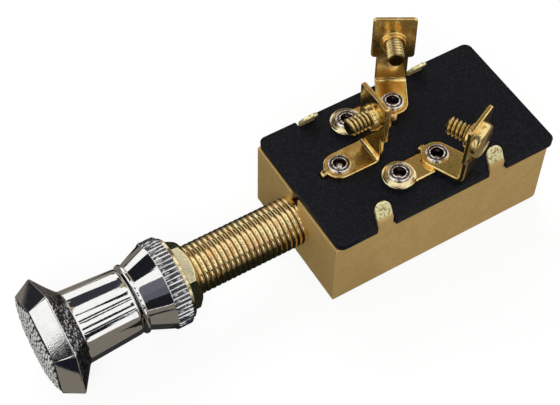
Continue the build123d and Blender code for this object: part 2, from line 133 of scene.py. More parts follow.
def metal(name, clean, tarnished, tarnish, roughness, blotch, grain_size, grain, relief, metallic=1.0):
    """Metal with tarnish and grain; blotch and grain_size are lengths, relief the grain's depth."""
    made = bpy.data.materials.new(name)
    made.use_nodes = True
    tree = made.node_tree
    surface = tree.nodes["Principled BSDF"]
    skin = add_node(
        tree,
        "ShaderNodeGroup",
        {
            "Clean": (*clean, 1),
            "Tarnished": (*tarnished, 1),
            "Tarnish": tarnish,
            "Blotch Scale": 1 / blotch,
            "Grain Scale": 1 / grain_size,
            "Grain": grain,
            "Roughness": roughness,
        },
        node_tree=metal_skin,
    )
    bump = add_node(
        tree, "ShaderNodeBump", {"Height": skin.outputs["Height"], "Strength": 1.0, "Distance": relief}
    )
    tree.links.new(skin.outputs["Color"], surface.inputs["Base Color"])
    tree.links.new(skin.outputs["Roughness"], surface.inputs["Roughness"])
    tree.links.new(bump.outputs["Normal"], surface.inputs["Normal"])
    surface.inputs["Metallic"].default_value = metallic
    return made


def finish_node(name, material):
    """Gives a carried-over solid its finish."""
    shown = nodes[name]
    shown.data.materials.clear()
    shown.data.materials.append(material)


def show(name, mesh, material):
    """Closes a bmesh into an object of the scene."""
    data = bpy.data.meshes.new(name)
    mesh.to_mesh(data)
    mesh.free()
    data.materials.append(material)
    made = bpy.data.objects.new(name, data)
    bpy.context.scene.collection.objects.link(made)
    return made


def new_piece(name, mesh, material, body, slot, *replaced):
    """A piece that rides on a body and stands for CAD nodes."""
    made = show(name, mesh, material)
    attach(made, body)
    if replaced:
        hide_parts(*replaced)
    return made


def smooth_faces(mesh):
    for face in mesh.faces:
        face.smooth = True


def sharpen(mesh, angle_deg):
    """Marks the edges that turn by more than an angle, so that they stay crisp."""
    limit = radians(angle_deg)
    for edge in mesh.edges:
        edge.smooth = not (edge.is_manifold and edge.calc_face_angle(0) > limit)


flat_limit_deg = 0.6
corner_limit_deg = 28
crisp_limit_deg = 40


def tumble(name, node, radius, material, body, slot):
    """The solid with its cut edges rubbed round, as they are after tumbling."""
    mesh = bmesh.new()
    mesh.from_mesh(nodes[node].data)
    bmesh.ops.remove_doubles(mesh, verts=mesh.verts, dist=radius / 4)
    bmesh.ops.dissolve_limit(
        mesh, angle_limit=radians(flat_limit_deg), verts=mesh.verts, edges=mesh.edges
    )
    corners = [
        edge
        for edge in mesh.edges
        if edge.is_manifold and edge.calc_face_angle(0) > radians(corner_limit_deg)
    ]
    bmesh.ops.bevel(
        mesh,
        geom=corners,
        offset=radius,
        offset_type="OFFSET",
        affect="EDGES",
        segments=3,
        profile=0.5,
        material=-1,
        clamp_overlap=False,
    )
    smooth_faces(mesh)
    sharpen(mesh, crisp_limit_deg)
    made = new_piece(name, mesh, material, body, slot, node)
    level = made.modifiers.new("level_flats", "WEIGHTED_NORMAL")
    level.keep_sharp = True
    level.weight = 100
    return made


def ramp(tree, value, low, high):
    """Rises from 0 to 1 as a value goes from low to high."""
    return add_node(
        tree, "ShaderNodeMapRange", {"Value": value, "From Min": low, "From Max": high}
    ).outputs["Result"]


def make_painted_light_layer():
    """A flecked colour that takes the place of another where the mask is 1, as painted highlight and
    shade.
    """
    group, entry, leave = make_group(
        "painted_light_layer",
        [
            ("Color Below", "NodeSocketColor", (0.8, 0.8, 0.8, 1)),
            ("Roughness Below", "NodeSocketFloat", 0.3),
            ("Mask", "NodeSocketFloat", 0.0),
            ("Color", "NodeSocketColor", (0.1, 0.1, 0.1, 1)),
            ("Fleck", "NodeSocketColor", (0.5, 0.5, 0.5, 1)),
            ("Fleck Scale", "NodeSocketFloat", 1000.0),
            ("Roughness", "NodeSocketFloat", 0.3),
        ],
        [("Color", "NodeSocketColor"), ("Roughness", "NodeSocketFloat")],
    )
    place = add_node(group, "ShaderNodeTexCoord").outputs["Object"]
    noise = add_node(
        group, "ShaderNodeTexNoise", {"Vector": place, "Scale": entry["Fleck Scale"], "Detail": 2.0}
    ).outputs["Fac"]
    second = add_node(
        group,
        "ShaderNodeMix",
        {"Factor": ramp(group, noise, 0.52, 0.6), "A": entry["Color"], "B": entry["Fleck"]},
        data_type="RGBA",
    ).outputs["Result"]
    color = add_node(
        group,
        "ShaderNodeMix",
        {"Factor": entry["Mask"], "A": entry["Color Below"], "B": second},
        data_type="RGBA",
    ).outputs["Result"]
    rough = add_node(
        group,
        "ShaderNodeMix",
        {"Factor": entry["Mask"], "A": entry["Roughness Below"], "B": entry["Roughness"]},
        data_type="FLOAT",
    ).outputs["Result"]
    group.links.new(color, leave["Color"])
    group.links.new(rough, leave["Roughness"])
    return group


painted_light_layer = make_painted_light_layer()


def overlay(made, mask, color, fleck, fleck_size, roughness):
    """Paints a flecked colour of painted highlight and shade over a metal where the mask is 1."""
    tree = made.node_tree
    surface = tree.nodes["Principled BSDF"]
    top = add_node(
        tree,
        "ShaderNodeGroup",
        {
            "Color Below": surface.inputs["Base Color"].links[0].from_socket,
            "Roughness Below": surface.inputs["Roughness"].links[0].from_socket,
            "Mask": mask,
            "Color": (*color, 1),
            "Fleck": (*fleck, 1),
            "Fleck Scale": 1 / fleck_size,
            "Roughness": roughness,
        },
        node_tree=painted_light_layer,
    )
    tree.links.new(top.outputs["Color"], surface.inputs["Base Color"])
    tree.links.new(top.outputs["Roughness"], surface.inputs["Roughness"])


case_brass = metal(
    "case_brass",
    clean=(0.60, 0.41, 0.155),
    tarnished=(0.53, 0.35, 0.125),
    tarnish=0.6,
    roughness=0.5,
    blotch=3 * mm,
    grain_size=0.3 * mm,
    grain=0.10,
    relief=0.008 * mm,
    metallic=0.6,
)


def object_position(tree):
    """The X, Y and Z of a point in the part's own frame."""
    place = add_node(tree, "ShaderNodeTexCoord").outputs["Object"]
    return add_node(tree, "ShaderNodeSeparateXYZ", {0: place}).outputs


tree = case_brass.node_tree
# Painted highlight: the tabs' upper parts, above 9 mm, are painted pale cream with darker flecks.
painted_highlight_tab_tops = ramp(tree, object_position(tree)["Z"], 9.0 * mm, 9.5 * mm)
overlay(case_brass, painted_highlight_tab_tops, (0.93, 0.86, 0.50), (0.42, 0.33, 0.12), 0.5 * mm, 0.3)
tumble("folded_case", "case", 0.2 * mm, case_brass, "switch_body", "case_brass")


# Liner
# A channel of grey vulcanised fibre, folded to fit the case, that keeps the
# moving parts off the metal. It shows only through the seam.
def plain(name, color, fleck, fleck_size, roughness, relief, specular=0.5):
    """Non-metal with flecks of a second colour and a faint relief."""
    made = bpy.data.materials.new(name)
    made.use_nodes = True
    tree = made.node_tree
    surface = tree.nodes["Principled BSDF"]
    place = add_node(tree, "ShaderNodeTexCoord").outputs["Object"]
    noise = add_node(
        tree, "ShaderNodeTexNoise", {"Vector": place, "Scale": 1 / fleck_size, "Detail": 3.0}
    ).outputs["Fac"]
    share = ramp(tree, noise, 0.5, 0.75)
    color_mix = add_node(
        tree, "ShaderNodeMix", {"Factor": share, "A": (*color, 1), "B": (*fleck, 1)}, data_type="RGBA"
    )
    bump = add_node(tree, "ShaderNodeBump", {"Height": noise, "Strength": 1.0, "Distance": relief})
    tree.links.new(color_mix.outputs["Result"], surface.inputs["Base Color"])
    tree.links.new(bump.outputs["Normal"], surface.inputs["Normal"])
    surface.inputs["Roughness"].default_value = roughness
    surface.inputs["Specular IOR Level"].default_value = specular
    return made


fibre = plain("fibre", (0.16, 0.15, 0.14), (0.24, 0.22, 0.20), 0.8 * mm, 0.8, 0.01 * mm)
finish_node("insulating_liner", fibre)

# Terminal board
# Black paper laminate, punched from sheet, with a satin face in which the paper
# shows as faint pale flecks. The case's four tabs hold it down.
laminate = plain(
    "laminate", (0.0040, 0.0043, 0.0062), (0.015, 0.016, 0.020), 0.35 * mm, 0.34, 0.006 * mm, 0.12
)
tumble("punched_board", "terminal_board", 0.22 * mm, laminate, "switch_body", "board")

# Link strips and washers
# Strip brass, punched and tumbled, so that the edges are rounded and bright.
# The washers are as thick, in a paler brass, and dished at the rim.
strip_brass = metal(
    "strip_brass",
    clean=(1.0, 0.80, 0.34),
    tarnished=(0.72, 0.38, 0.11),
    tarnish=0.8,
    roughness=0.14,
    blotch=1.3 * mm,
    grain_size=0.3 * mm,
    grain=0.12,
    relief=0.014 * mm,
)
pale_brass = metal(
    "pale_brass",
    clean=(0.96, 0.84, 0.50),
    tarnished=(0.70, 0.50, 0.24),
    tarnish=0.6,
    roughness=0.15,
    blotch=1.2 * mm,
    grain_size=0.2 * mm,
    grain=0.08,
    relief=0.006 * mm,
)
washer_bore_r = 1.55 * mm
washer_r = 3.25 * mm
washer_steps = 48
turned_limit_deg = 50


def spin_profile(mesh, points, steps, close=False):
    """Turns (radius, height) points about Z; points on the axis close the ends."""
    corners = [mesh.verts.new((radius, 0, height)) for radius, height in points]
    edges = [mesh.edges.new(pair) for pair in zip(corners, corners[1:])]
    if close:
        edges.append(mesh.edges.new((corners[-1], corners[0])))
    bmesh.ops.spin(
        mesh, geom=corners + edges, cent=(0, 0, 0), axis=(0, 0, 1), angle=tau, steps=steps, use_merge=True
    )
    bmesh.ops.remove_doubles(mesh, verts=mesh.verts, dist=1e-7)
    bmesh.ops.recalc_face_normals(mesh, faces=mesh.faces)


def make_dished_washer(name, node):
    low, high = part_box(node)
    centre = (low + high) / 2
    mesh = bmesh.new()
    spin_profile(
        mesh,
        [
            (washer_bore_r, low.z),
            (washer_r - 0.2 * mm, low.z),
            (washer_r - 0.05 * mm, low.z + 0.08 * mm),
            (washer_r, low.z + 0.22 * mm),
            (washer_r - 0.03 * mm, low.z + 0.36 * mm),
            (washer_r - 0.14 * mm, low.z + 0.48 * mm),
            (washer_r - 0.4 * mm, low.z + 0.60 * mm),
            (washer_r - 1.1 * mm, high.z),
            (washer_bore_r, high.z),
        ],
        washer_steps,
        close=True,
    )
    bmesh.ops.translate(mesh, verts=mesh.verts, vec=(centre.x, centre.y, 0))
    smooth_faces(mesh)
    sharpen(mesh, turned_limit_deg)
    return new_piece(name, mesh, pale_brass, "switch_body", "washer_brass", node)


for side in ("left", "right"):
    tumble(
        f"tumbled_link_strip_{side}",
        f"link_strip_{side}",
        0.2 * mm,
        strip_brass,
        "switch_body",
        "strip_brass",
    )
    make_dished_washer(f"dished_washer_{side}", f"link_washer_{side}")

# Terminals
# Stamped from the same strip, with a foot, a fold and a wider head, each bent a
# little differently by hand.
terminal_names = ("common", "left", "right")
for name in terminal_names:
    tumble(
        f"tumbled_terminal_{name}",
        f"terminal_{name}",
        0.25 * mm,
        strip_brass,
        "switch_body",
        "strip_brass",
    )

# Rivets
# Semi-tubular rivets, nickel plated. The tube is rolled out over the terminal,
# and the plating and the edge crack a little as it turns.
rivet_bore_r = 1.15 * mm
rivet_flange_r = 2.2 * mm
rivet_shank_r = 1.5 * mm
rivet_head_t = 0.8 * mm
roll_height = 0.6 * mm
board_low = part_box("terminal_board")[0].z
board_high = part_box("terminal_board")[1].z
rivet_steps = 54
crack_every = 6
crack_from_r = rivet_bore_r + 0.2 * mm
crack_to_r = rivet_bore_r + 0.7 * mm
crack_depth = 0.14 * mm
groove_from_r = rivet_bore_r + 0.3 * mm
groove_to_r = rivet_bore_r + 0.62 * mm
bore_floor_r = 0.85 * mm
recess_shade = "recess_shade"
nickel = metal(
    "nickel",
    clean=(0.97, 0.92, 0.84),
    tarnished=(0.62, 0.44, 0.40),
    tarnish=0.5,
    roughness=0.14,
    blotch=0.8 * mm,
    grain_size=0.2 * mm,
    grain=0.08,
    relief=0.003 * mm,
)


def paint_recess_shade(made, color, fleck, fleck_size, roughness):
    """Painted shade on a metal, where a piece's own attribute marks its recesses."""
    mask = add_node(made.node_tree, "ShaderNodeAttribute", attribute_name=recess_shade).outputs["Fac"]
    overlay(made, mask, color, fleck, fleck_size, roughness)


paint_recess_shade(nickel, (0.045, 0.03, 0.035), (0.30, 0.22, 0.20), 0.35 * mm, 0.35)


def make_rolled_rivet(name, node):
    low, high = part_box(node)
    centre = (low + high) / 2
    seat = high.z - roll_height
    mesh = bmesh.new()
    spin_profile(
        mesh,
        [
            (0, board_high + 0.90 * mm),
            (0.45 * mm, board_high + 0.82 * mm),
            (0.80 * mm, board_high + 0.55 * mm),
            (rivet_bore_r - 0.1 * mm, board_high + 0.1 * mm),
            (rivet_bore_r, board_high + 0.1 * mm),
            (rivet_bore_r, seat + 0.30 * mm),
            (rivet_bore_r + 0.04 * mm, high.z - 0.10 * mm),
            (rivet_bore_r + 0.12 * mm, high.z),
            (rivet_bore_r + 0.24 * mm, high.z - 0.04 * mm),
            (rivet_bore_r + 0.34 * mm, high.z - 0.20 * mm),
            (rivet_bore_r + 0.48 * mm, high.z - 0.24 * mm),
            (rivet_bore_r + 0.60 * mm, high.z - 0.12 * mm),
            (rivet_bore_r + 0.76 * mm, high.z - 0.10 * mm),
            (rivet_bore_r + 0.92 * mm, seat + 0.38 * mm),
            (rivet_flange_r - 0.04 * mm, seat + 0.24 * mm),
            (rivet_flange_r, seat + 0.12 * mm),
            (rivet_flange_r - 0.06 * mm, seat),
            (rivet_shank_r, seat),
            (rivet_shank_r, board_low),
            ((high.x - low.x) / 2, board_low),
            ((high.x - low.x) / 2, board_low - rivet_head_t),
            (0, board_low - rivet_head_t),
        ],
        rivet_steps,
    )
    # Painted shade: the bore's walls and the groove and cracks of the rolled edge are marked to be
    # painted near-black, while the bore's floor stays bright.
    shade_layer = mesh.verts.layers.float.new(recess_shade)
    for vert in mesh.verts:
        radius = vert.co.xy.length
        step = round(atan2(vert.co.y, vert.co.x) / tau * rivet_steps)
        crack = step % crack_every == 0 and crack_from_r < radius < crack_to_r
        if crack and vert.co.z > seat:
            vert.co.z -= crack_depth
        groove = groove_from_r < radius < groove_to_r
        inside = vert.co.z > board_low and radius < rivet_bore_r + 0.02 * mm
        if radius < bore_floor_r:
            vert[shade_layer] = 0
        elif inside:
            vert[shade_layer] = 1
        elif vert.co.z > seat and (groove or crack):
            vert[shade_layer] = 0.95
    bmesh.ops.translate(mesh, verts=mesh.verts, vec=(centre.x, centre.y, 0))
    smooth_faces(mesh)
    sharpen(mesh, turned_limit_deg)
    return new_piece(name, mesh, nickel, "switch_body", "rivet_nickel", node)


for name in terminal_names:
    make_rolled_rivet(f"rolled_rivet_{name}", f"rivet_{name}")
for side in ("left", "right"):
    make_rolled_rivet(f"rolled_link_rivet_{side}", f"link_rivet_{side}")

# Terminal screws
# Brass binding-head screws with a rolled thread, run in from the outside of each
# tab until the head meets it. The slots in the heads are left out.
thread_pitch = 25.4 / 32 * mm
screw_r = 1.7 * mm
screw_root_r = 1.28 * mm
screw_reach = 5.3 * mm
screw_head_r = 3.4 * mm
screw_head_t = 1.5 * mm
screw_tip = 0.3 * mm
screw_steps = 28
thread_limit_deg = 60
strap_t = 0.9 * mm
screw_height = 8.9 * mm
link_t = 0.8 * mm
# rivet x, rivet y, foot direction, reach to the tab, lean, turn in its plane, lift
terminals = {
    "common": (-0.9 * mm, 9.85 * mm, 90, 6.75 * mm, 0.5, -3.5, 0),
    "left": (-7.85 * mm, 26.1 * mm, 150, 5.55 * mm, 9, 0.5, link_t),
    "right": (6.65 * mm, 26.15 * mm, 26, 6.1 * mm, 1, -2.6, link_t),
}
screw_brass = metal(
    "screw_brass",
    clean=(1.0, 0.80, 0.36),
    tarnished=(0.66, 0.38, 0.11),
    tarnish=0.6,
    roughness=0.16,
    blotch=1.0 * mm,
    grain_size=0.15 * mm,
    grain=0.05,
    relief=0.002 * mm,
)
# Painted shade: the screws are painted dark brown deeper into their thread grooves.
paint_recess_shade(screw_brass, (0.05, 0.03, 0.012), (0.12, 0.07, 0.025), 0.3 * mm, 0.4)


def thread(mesh, crest, root, pitch, start, end, steps, flat=0.0):
    """A right-hand thread about Z, open at both ends; flat is the crest's width."""
    groove = pitch - flat
    profile = [
        (root, 0),
        (root, 0.14 * groove),
        ((root + crest) / 2, 0.32 * groove),
        (crest - 0.06 * (crest - root), 0.46 * groove),
        (crest, 0.52 * groove),
        (crest, 0.56 * groove + flat),
        (crest - 0.06 * (crest - root), 0.62 * groove + flat),
        ((root + crest) / 2, 0.80 * groove + flat),
        (root, 0.98 * groove + flat),
        (root, pitch),
    ]
    turns = int((end - start) / pitch) + 3
    base = start - pitch * 1.5
    corners = [mesh.verts.new((radius, 0, base + height)) for radius, height in profile]
    edges = [mesh.edges.new(pair) for pair in zip(corners, corners[1:])]
    bmesh.ops.spin(
        mesh,
        geom=corners + edges,
        cent=(0, 0, 0),
        axis=(0, 0, 1),
        dvec=(0, 0, pitch / steps),
        angle=tau,
        steps=steps,
    )
    first_turn = mesh.verts[:] + mesh.edges[:] + mesh.faces[:]
    for turn in range(1, turns):
        copied = bmesh.ops.duplicate(mesh, geom=first_turn)["geom"]
        moved = [item for item in copied if isinstance(item, bmesh.types.BMVert)]
        bmesh.ops.translate(mesh, verts=moved, vec=(0, 0, pitch * turn))
    bmesh.ops.remove_doubles(mesh, verts=mesh.verts, dist=1e-6)
    for height, direction in ((start, -1), (end, 1)):
        whole = mesh.verts[:] + mesh.edges[:] + mesh.faces[:]
        bmesh.ops.bisect_plane(
            mesh,
            geom=whole,
            dist=1e-8,
            plane_co=(0, 0, height),
            plane_no=(0, 0, direction),
            clear_outer=True,
        )


def mark_groove_shade(mesh, crest, root):
    """Marks the grooves of a thread about Z for painted shade, darker deeper in."""
    shade_layer = mesh.verts.layers.float.new(recess_shade)
    for vert in mesh.verts:
        depth = (crest - vert.co.xy.length) / (crest - root)
        vert[shade_layer] = min(max(depth * 1.6 - 0.6, 0), 1)


def carry_rim(mesh, height, rings):
    """Extrudes the open rim at a height through (radius, height) rings, and gives the last."""
    rim = [edge for edge in mesh.edges if edge.is_boundary and abs(edge.verts[0].co.z - height) < 1e-6]
    for radius, next_height in rings:
        made = bmesh.ops.extrude_edge_only(mesh, edges=rim)["geom"]
        rim = [item for item in made if isinstance(item, bmesh.types.BMEdge) and item.is_boundary]
        for vert in {vert for edge in rim for vert in edge.verts}:
            flat = vert.co.xy.normalized() * radius
            vert.co = (flat.x, flat.y, next_height)
    return rim


def terminal_axes(name):
    """Where a terminal screw stands: X across the tab, Y up it, Z outward."""
    x, y, heading, reach, lean, turn, lift = terminals[name]
    along = Vector((cos(radians(heading)), sin(radians(heading)), 0))
    across = Vector((-along.y, along.x, 0))
    up = Vector((0, 0, 1))
    outward = along * cos(radians(lean)) - up * sin(radians(lean))
    rise = along * sin(radians(lean)) + up * cos(radians(lean))
    tab_x = across * cos(radians(turn)) + rise * sin(radians(turn))
    tab_y = outward.cross(tab_x)
    base = Vector((x, y, board_high)) + along * reach + up * (lift + strap_t)
    place = Matrix((tab_x, tab_y, outward)).transposed().to_4x4()
    place.translation = base + tab_y * screw_height
    return place


for name in terminal_names:
    mesh = bmesh.new()
    thread(mesh, screw_r, screw_root_r, thread_pitch, -screw_reach + screw_tip, 0, screw_steps)
    tip = carry_rim(mesh, -screw_reach + screw_tip, [(screw_root_r - 0.05 * mm, -screw_reach)])
    bmesh.ops.contextual_create(mesh, geom=tip)
    head_rim = carry_rim(
        mesh,
        0,
        [
            (screw_r, 0.02 * mm),
            (screw_r, strap_t),
            (screw_head_r, strap_t),
            (screw_head_r, strap_t + 0.75 * mm),
            (screw_head_r - 0.18 * mm, strap_t + 1.15 * mm),
            (screw_head_r - 0.6 * mm, strap_t + 1.4 * mm),
            (screw_head_r - 1.4 * mm, strap_t + screw_head_t),
        ],
    )
    bmesh.ops.contextual_create(mesh, geom=head_rim)
    bmesh.ops.recalc_face_normals(mesh, faces=mesh.faces)
    smooth_faces(mesh)
    sharpen(mesh, thread_limit_deg)
    mark_groove_shade(mesh, screw_r, screw_root_r)
    bmesh.ops.transform(mesh, matrix=terminal_axes(name), verts=mesh.verts)
    new_piece(
        f"rolled_screw_{name}", mesh, screw_brass, "switch_body", "screw_brass", f"terminal_screw_{name}"
    )

# Threaded stem
# Turned from brass bar, with a die-cut thread along its whole length, a collar
# against the case and a flange that the two front flaps trap.
stem_r = 9.525 / 2 * mm
stem_root_r = stem_r - 0.28 * mm
stem_crest = 0.42 * mm
stem_pitch = 25.4 / 24 * mm
stem_steps = 96
stem_chamfer = 0.3 * mm
stem_bore_r = 3.22 * mm
stem_end = 33.8 * mm
collar_len = 0.5 * mm
wall_t = 0.7 * mm
neck_r = 4.2 * mm
flange_r = 6.1 * mm
flange_t = 1.6 * mm
stem_brass = metal(
    "stem_brass",
    clean=(1.0, 0.85, 0.44),
    tarnished=(0.90, 0.56, 0.24),
    tarnish=0.8,
    roughness=0.11,
    blotch=2.0 * mm,
    grain_size=0.3 * mm,
    grain=0.04,
    relief=0.0005 * mm,
)
# Painted shade: the stem is painted darker brown deeper into its thread grooves, and in its bore and
# neck.
paint_recess_shade(stem_brass, (0.20, 0.09, 0.035), (0.30, 0.15, 0.06), 0.6 * mm, 0.35)
mesh = bmesh.new()
thread(mesh, stem_r, stem_root_r, stem_pitch, collar_len, stem_end - stem_chamfer, stem_steps, stem_crest)
mouth = carry_rim(
    mesh,
    stem_end - stem_chamfer,
    [(stem_root_r + 0.05 * mm, stem_end), (stem_bore_r, stem_end), (stem_bore_r, 0)],
)
back = carry_rim(
    mesh,
    collar_len,
    [
        (stem_r, collar_len - 0.02 * mm),
        (stem_r, 0),
        (neck_r, 0),
        (neck_r, -wall_t),
        (flange_r, -wall_t),
        (flange_r, -wall_t - flange_t),
        (stem_bore_r, -wall_t - flange_t),
    ],
)
bmesh.ops.bridge_loops(mesh, edges=mouth + back)
bmesh.ops.recalc_face_normals(mesh, faces=mesh.faces)
smooth_faces(mesh)
sharpen(mesh, thread_limit_deg)
mark_groove_shade(mesh, stem_r, stem_root_r)
bmesh.ops.rotate(mesh, verts=mesh.verts, cent=(0, 0, 0), matrix=Matrix.Rotation(pi / 2, 3, "X"))
new_piece("cut_stem", mesh, stem_brass, "switch_body", "stem_brass", "threaded_stem")

# Moving parts inside the case
# A moulded brown slider rides in the liner on the rod's tail, held by a steel
# ring, and carries a brass bridge on two coil springs over an arched detent.
phenolic = plain("phenolic", (0.055, 0.022, 0.012), (0.11, 0.05, 0.03), 0.6 * mm, 0.5, 0.01 * mm)
finish_node("slider", phenolic)
finish_node("bridge_contact", strip_brass)
spring_steel = metal(
    "spring_steel",
    clean=(0.55, 0.56, 0.58),
    tarnished=(0.30, 0.31, 0.34),
    tarnish=0.5,
    roughness=0.25,
    blotch=2.0 * mm,
    grain_size=0.1 * mm,
    grain=0.06,
    relief=0.004 * mm,
)
steel_nodes = (
    "retaining_ring",
    "contact_spring_left",
    "contact_spring_right",
    "detent_spring",
    "plunger_rod",
)
for name in steel_nodes:
    finish_node(name, spring_steel)

# Panel nut and washer
# Thin brass nut and a stamped washer, both bright, that clamp the panel from
# behind the face nut.
nut_brass = metal(
    "nut_brass",
    clean=(1.0, 0.90, 0.60),
    tarnished=(0.86, 0.68, 0.34),
    tarnish=0.4,
    roughness=0.16,
    blotch=2.0 * mm,
    grain_size=0.2 * mm,
    grain=0.06,
    relief=0.006 * mm,
)
tumble("thin_hex_nut", "hex_nut", 0.12 * mm, nut_brass, "switch_body", "nut_brass")
finish_node("panel_washer", nut_brass)

# Face nut
# Turned brass with a straight knurl round its rim, polished and chrome plated.
chrome = metal(
    "chrome",
    clean=(0.92, 0.92, 0.90),
    tarnished=(0.80, 0.79, 0.77),
    tarnish=0.25,
    roughness=0.03,
    blotch=1.5 * mm,
    grain_size=0.25 * mm,
    grain=0.04,
    relief=0.002 * mm,
)


def stem_radius(tree):
    """Distance from the stem's axis."""
    place = add_node(tree, "ShaderNodeTexCoord").outputs["Object"]
    flat = add_node(
        tree, "ShaderNodeVectorMath", {0: place, 1: (1, 0, 1)}, operation="MULTIPLY"
    ).outputs[0]
    return add_node(tree, "ShaderNodeVectorMath", {0: flat}, operation="LENGTH").outputs["Value"]


knurled_chrome = chrome.copy()
knurled_chrome.name = "knurled_chrome"
tree = knurled_chrome.node_tree
# Painted shade: the knurl, beyond 8.3 mm from the axis, is painted near-black, with pale flecks as
# painted glints.
painted_shade_knurl = ramp(tree, stem_radius(tree), 8.27 * mm, 8.32 * mm)
overlay(knurled_chrome, painted_shade_knurl, (0.10, 0.10, 0.12), (0.62, 0.62, 0.62), 0.9 * mm, 0.15)
tumble("knurled_face_nut", "face_nut", 0.07 * mm, knurled_chrome, "switch_body", "chrome")

# Knob
# Die-cast in one piece and chrome plated. The sides are polished. The domed front is cast with a close
# grain of pebbles. The undercut behind the head and the face between the pebbles are painted near-black
# as shade, and each pebble is painted darker as shade away from its tip.
pebble_pitch = 0.86 * mm
pebble_r = 0.39 * mm
pebble_rise = 0.30 * mm
pebble_turn = radians(14)
pebble_scatter = 0.24
pebble_row_step = 0.87
pebble_seed = 7
shade_from = 0.2
shade_fade = 0.25
head_turn = 36
head_wide_y = -48.7 * mm
head_front_r = 9.3 * mm
front_edge_y = -52.2 * mm
front_edge_fade = 0.3 * mm
border = 0.3 * mm
dome_front_y = -53.0 * mm
dome_rise = 0.5 * mm
dome_r = (head_front_r**2 + dome_rise**2) / (2 * dome_rise)
cast_chrome = chrome.copy()
cast_chrome.name = "cast_chrome"
tree = cast_chrome.node_tree
along = object_position(tree)["Y"]
behind_head = ramp(tree, along, head_wide_y - 0.05 * mm, head_wide_y + 0.05 * mm)
outside_neck = ramp(tree, stem_radius(tree), 7.0 * mm, 7.1 * mm)
# Painted shade: the undercut behind the head, outside the neck, is painted near-black with pale flecks.
painted_shade_undercut = add_node(
    tree, "ShaderNodeMath", {0: behind_head, 1: outside_neck}, operation="MULTIPLY"
).outputs[0]
# Painted shade: the front face between the pebbles is painted near-black as well.
between_pebbles = ramp(tree, along, front_edge_y - 0.01 * mm, front_edge_y - 0.04 * mm)
painted_shade_places = add_node(
    tree, "ShaderNodeMath", {0: painted_shade_undercut, 1: between_pebbles}, operation="MAXIMUM"
).outputs[0]
overlay(cast_chrome, painted_shade_places, (0.03, 0.03, 0.04), (0.55, 0.55, 0.55), 0.5 * mm, 0.25)
knob = tumble("hexagonal_knob", "knob", 0.28 * mm, cast_chrome, "plunger", "chrome")
for vert in knob.data.vertices:
    vert.co.y += pebble_rise * min(max((front_edge_y - vert.co.y) / front_edge_fade, 0), 1)

mesh = bmesh.new()
random = Random(pebble_seed)
rows = int(head_front_r / pebble_pitch) + 3
side_headings = [radians(head_turn + 30 + 60 * side) for side in range(6)]
for row in range(-rows, rows + 1):
    row_mesh = bmesh.new()
    for column in range(-rows, rows + 1):
        slip = random.uniform(-pebble_scatter, pebble_scatter)
        across = (column + 0.5 * (row % 2) + slip) * pebble_pitch
        slip = random.uniform(-pebble_scatter, pebble_scatter)
        up = (row * pebble_row_step + slip) * pebble_pitch
        x = across * cos(pebble_turn) - up * sin(pebble_turn)
        z = across * sin(pebble_turn) + up * cos(pebble_turn)
        reach = max(x * cos(heading) + z * sin(heading) for heading in side_headings)
        if reach > head_front_r * cos(radians(30)) - border:
            continue
        wide = random.uniform(0.8, 1.2)
        y = dome_front_y + pebble_rise + (x * x + z * z) / (2 * dome_r)
        place = (
            Matrix.Translation((x, y, z))
            @ Matrix.Rotation(random.uniform(0, pi), 4, "Y")
            @ Matrix.Diagonal((wide * pebble_r, pebble_rise, pebble_r / wide, 1))
        )
        bmesh.ops.create_uvsphere(row_mesh, u_segments=8, v_segments=6, radius=1, matrix=place)
    row_data = bpy.data.meshes.new("pebble_row")
    row_mesh.to_mesh(row_data)
    row_mesh.free()
    mesh.from_mesh(row_data)
    bpy.data.meshes.remove(row_data)
smooth_faces(mesh)
# Painted shade: each pebble is painted darker away from its tip, towards the face it stands on.
shade_layer = mesh.verts.layers.float.new(recess_shade)
for vert in mesh.verts:
    depth = vert.co.y - dome_front_y - (vert.co.x**2 + vert.co.z**2) / (2 * dome_r)
    vert[shade_layer] = min(max((depth / pebble_rise - shade_from) / shade_fade, 0), 1)
pebble_chrome = metal(
    "pebble_chrome",
    clean=(0.98, 0.98, 0.96),
    tarnished=(0.85, 0.85, 0.83),
    tarnish=0.3,
    roughness=0.3,
    blotch=1.5 * mm,
    grain_size=0.25 * mm,
    grain=0.04,
    relief=0.001 * mm,
    metallic=0.5,
)
paint_recess_shade(pebble_chrome, (0.010, 0.010, 0.012), (0.03, 0.03, 0.03), 0.5 * mm, 0.5)
new_piece("pebbled_front", mesh, pebble_chrome, "plunger", "chrome")

# Studio
# The switch lies on a pale floor, on the knob and the case's rear edge, in soft
# light, with dark and tan cards round it that only reflections show.
floor_front = Vector((0, -48.7 * mm, -11.4 * mm))
floor_rear = Vector((0, 46.6 * mm, -10.15 * mm))
floor_slope = (floor_rear - floor_front).normalized()


def light_path_mix(tree, shown, seen_by_lamps):
    """What the camera and reflections see, or what the diffuse light comes from."""
    path = add_node(tree, "ShaderNodeLightPath").outputs
    either = add_node(
        tree, "ShaderNodeMath", {0: path["Is Camera Ray"], 1: path["Is Glossy Ray"]}, operation="MAXIMUM"
    ).outputs[0]
    any_of = add_node(
        tree, "ShaderNodeMath", {0: either, 1: path["Is Transmission Ray"]}, operation="MAXIMUM"
    ).outputs[0]
    return add_node(tree, "ShaderNodeMixShader", {0: any_of, 1: seen_by_lamps, 2: shown}).outputs[0]


